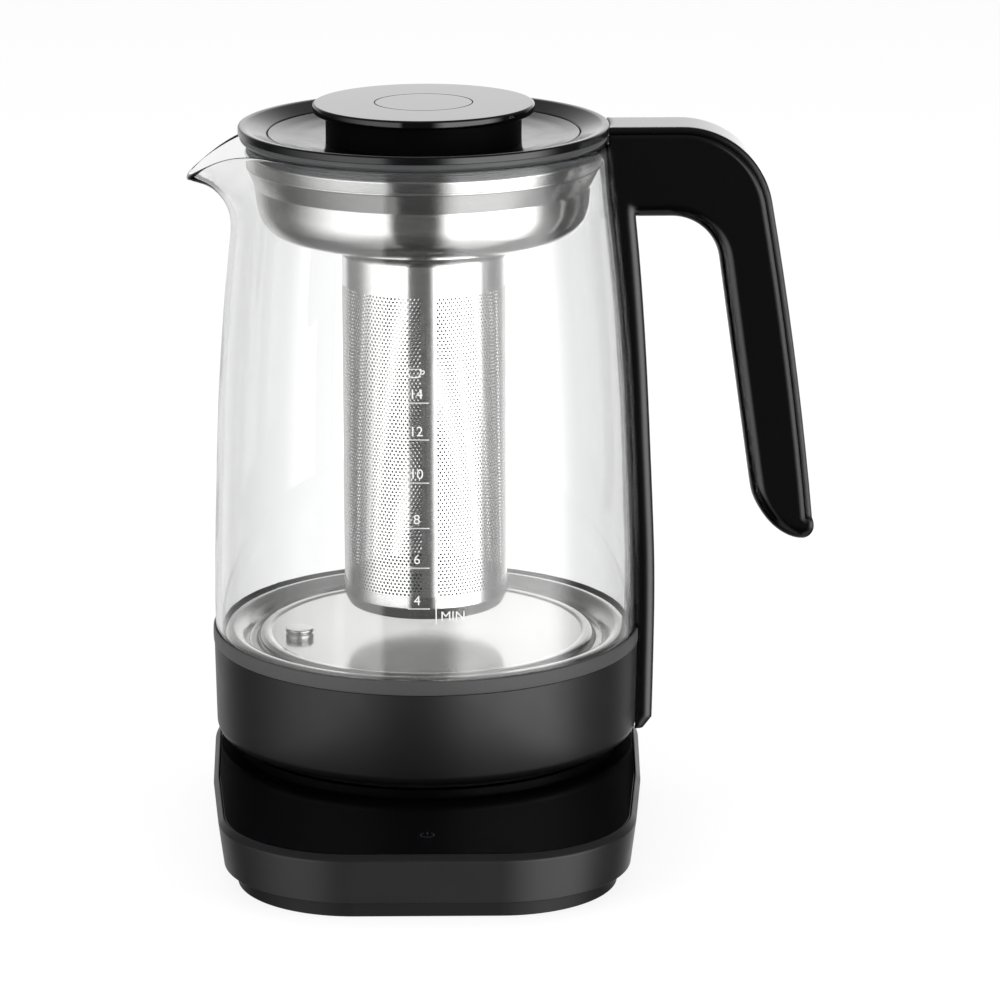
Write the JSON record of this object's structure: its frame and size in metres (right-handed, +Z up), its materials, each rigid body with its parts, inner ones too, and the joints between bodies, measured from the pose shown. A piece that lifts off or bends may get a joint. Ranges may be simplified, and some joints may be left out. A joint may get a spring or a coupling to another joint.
{
  "type": "automatic tea maker",
  "caption": "Glass tea jug with a heated metal floor, spout, lid and lift-out strainer tube, on a corded base with a touch panel.",
  "frame": {"origin": "on the jug's upright axis, in the plane of the surface that the base stands on", "axes": "+Z up, +X from the jug's axis to the handle, -Y from the jug's axis to the control panel"},
  "size_m": [0.2255, 0.2193, 0.2569],
  "materials": {
    "anthracite_housing": "satin moulded ABS with a fine spark texture, anthracite",
    "black_moulding": "plain black moulded plastic",
    "gloss_black": "high-gloss black ABS",
    "gloss_inlay": "glossy disc in the knob",
    "grey_ring": "satin dark grey moulded ring",
    "clear_glass": "clear borosilicate glass",
    "dark_silicone": "dark grey silicone",
    "satin_steel": "spun and brushed stainless steel",
    "bright_steel": "bright turned stainless steel",
    "cast_aluminium": "plain aluminium",
    "circuit_board": "glass-fibre board with green solder mask",
    "control_block": "ivory heat-resistant plastic",
    "buzzer_black": "black plastic can"
  },
  "bodies": {
    "base": {"base_housing": "anthracite_housing", "control_panel": "gloss_black", "base_tray": "black_moulding", "base_feet": "dark_silicone", "base_screws": "bright_steel", "base_plug": "black_moulding", "power_board": "circuit_board", "touch_board": "circuit_board", "buzzer": "buzzer_black", "cord_gland": "dark_silicone"},
    "socket": {"jug_socket": "black_moulding"},
    "jug": {"glass_jug": "clear_glass", "glass_seal": "dark_silicone", "collar_ring": "grey_ring", "jug_collar": "anthracite_housing", "jug_underside": "black_moulding", "jug_screws": "bright_steel", "heater_dish": "satin_steel", "heat_spreader": "cast_aluminium", "heating_element": "cast_aluminium", "boil_cut_out": "control_block", "temperature_sensor": "bright_steel", "handle_body": "gloss_black", "handle_cover": "gloss_black", "handle_screws": "bright_steel"},
    "infuser": {"lid_ring": "gloss_black", "lid_seal": "dark_silicone", "strainer_bowl": "satin_steel", "infuser_tube": "satin_steel", "infuser_cup": "satin_steel"},
    "lid": {"lid_dish": "gloss_black", "lid_stem": "gloss_black", "knob": "gloss_black", "knob_inlay": "gloss_inlay", "lid_screws": "bright_steel"}
  },
  "joints": [
    {"name": "jug_lift", "type": "slide", "parent": "base", "child": "socket", "axis": [0, 0, 1], "range_m": [0, 0.12]},
    {"name": "jug_swivel", "type": "hinge", "parent": "socket", "child": "jug", "pos_m": [0, 0, 0.035], "axis": [0, 0, 1], "continuous": true},
    {"name": "infuser_lift", "type": "slide", "parent": "jug", "child": "infuser", "axis": [0, 0, 1], "range_m": [0, 0.2]},
    {"name": "lid_lift", "type": "slide", "parent": "infuser", "child": "lid", "axis": [0, 0, 1], "range_m": [0, 0.06]}
  ]
}
